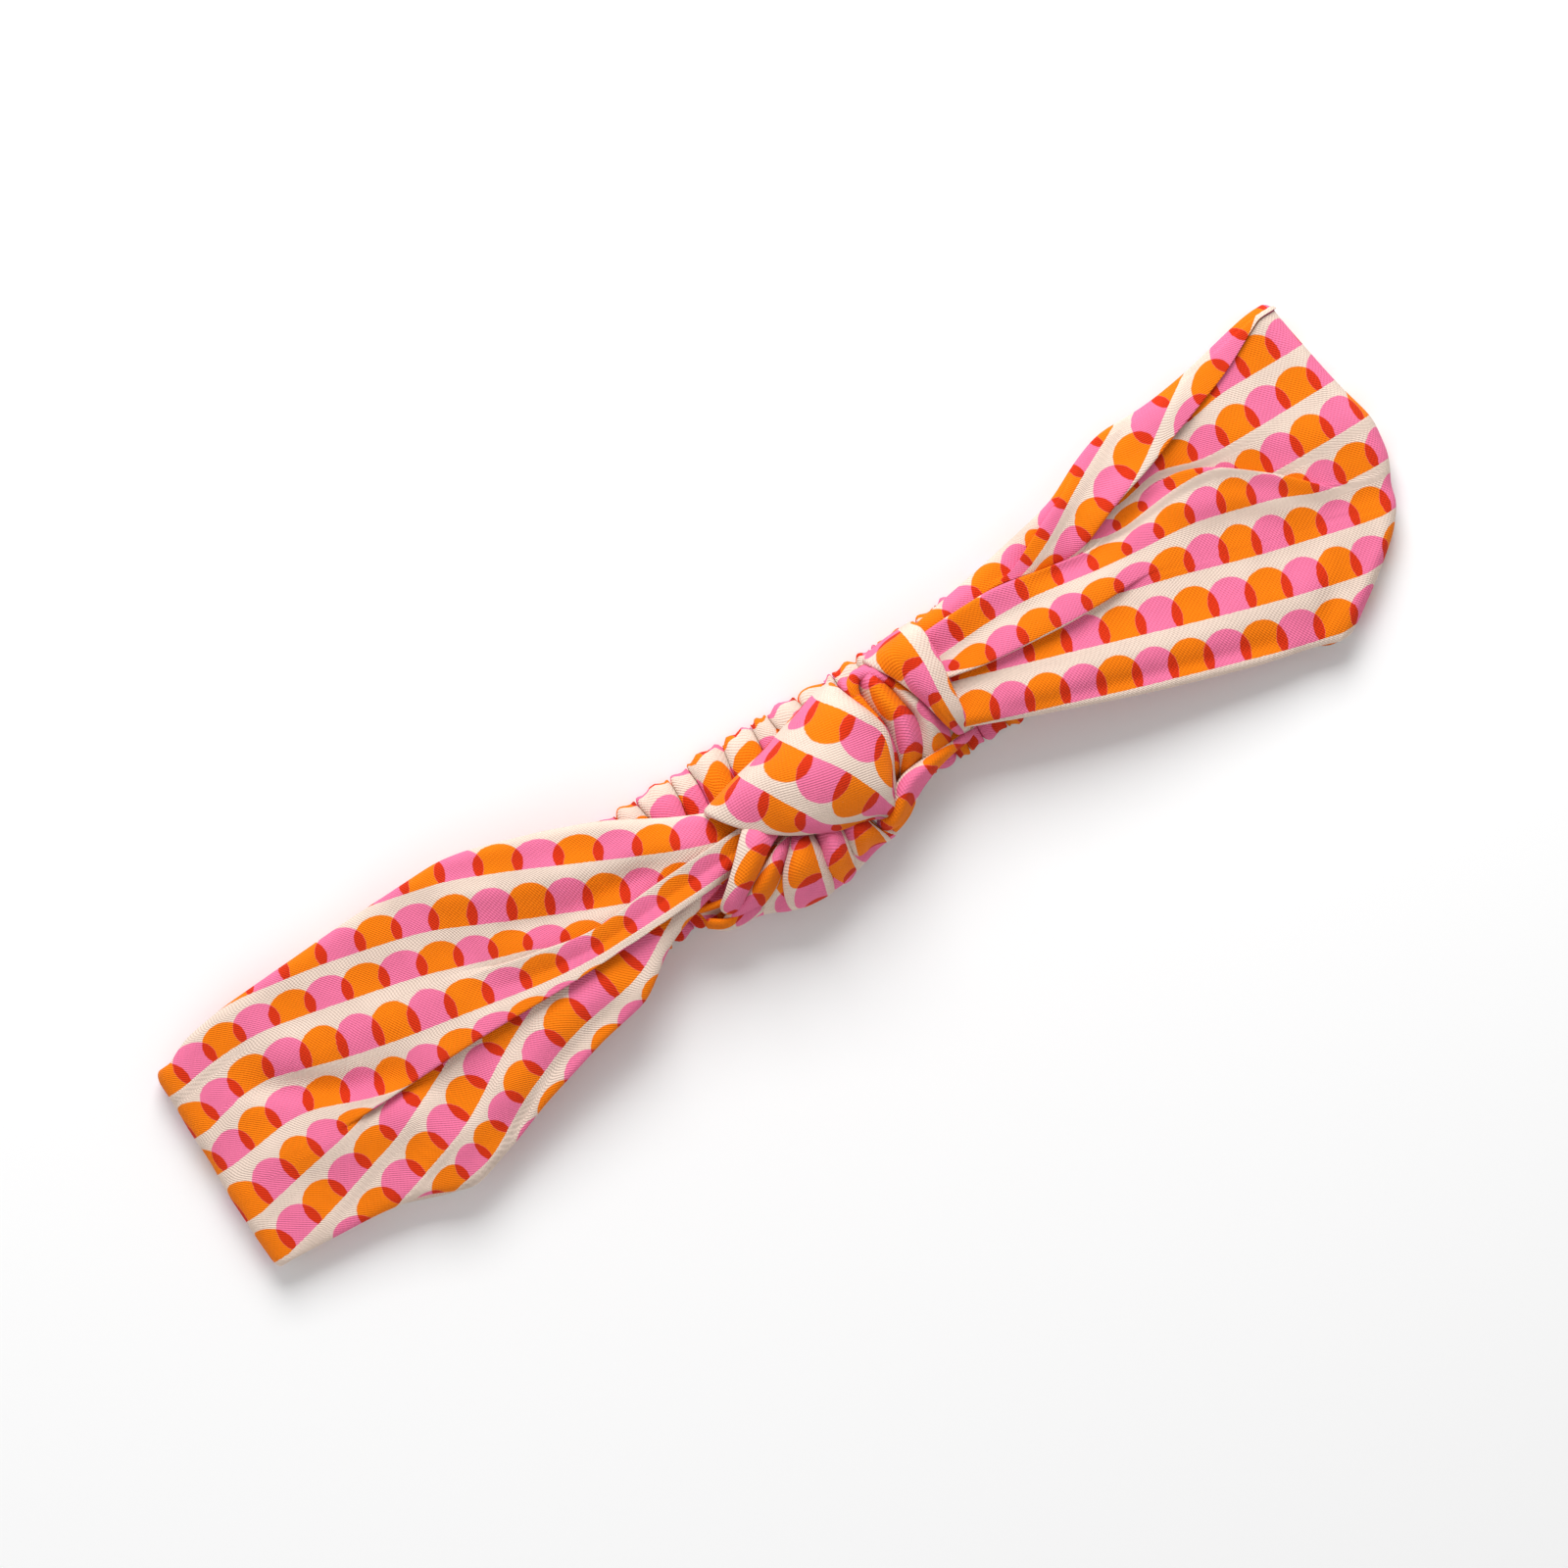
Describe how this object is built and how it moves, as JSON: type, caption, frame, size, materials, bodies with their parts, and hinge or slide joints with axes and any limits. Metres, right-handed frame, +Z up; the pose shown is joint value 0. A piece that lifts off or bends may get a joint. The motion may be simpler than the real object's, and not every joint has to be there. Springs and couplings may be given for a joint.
{
  "type": "sports headband",
  "caption": "Knotted printed-cotton headband lying flat, with two wide wings, a tied knot in front and a ruched elastic casing behind.",
  "frame": {"origin": "under the middle of the band's outline, on the surface it lies on", "axes": "+X along the band, towards the wider end fold; +Y across the band; +Z up, through the knot and away from the surface it lies on"},
  "size_m": [0.2396, 0.0568, 0.0249],
  "materials": {
    "printed_cotton": "matt woven cotton, orange and pink half discs in rows on a cream ground",
    "woven_elastic": "ribbed white woven elastic",
    "sewing_thread": "cream polyester thread with a slight sheen"
  },
  "bodies": {
    "root": {"front_wing_left": "printed_cotton", "front_wing_right": "printed_cotton", "end_fold_left": "printed_cotton", "end_fold_right": "printed_cotton", "back_wing_left": "printed_cotton", "back_wing_right": "printed_cotton", "knot_front_wrap": "printed_cotton", "knot_lower_wrap": "printed_cotton", "knot_collar": "printed_cotton", "knot_inner_pleats": "printed_cotton", "knot_side_roll": "printed_cotton", "knot_inner_pass": "printed_cotton", "knot_back_wrap": "printed_cotton", "elastic_casing": "printed_cotton", "elastic_band": "woven_elastic", "elastic_tack_left": "sewing_thread", "elastic_tack_right": "sewing_thread", "join_stitching_left": "sewing_thread", "join_stitching_right": "sewing_thread"}
  },
  "joints": []
}
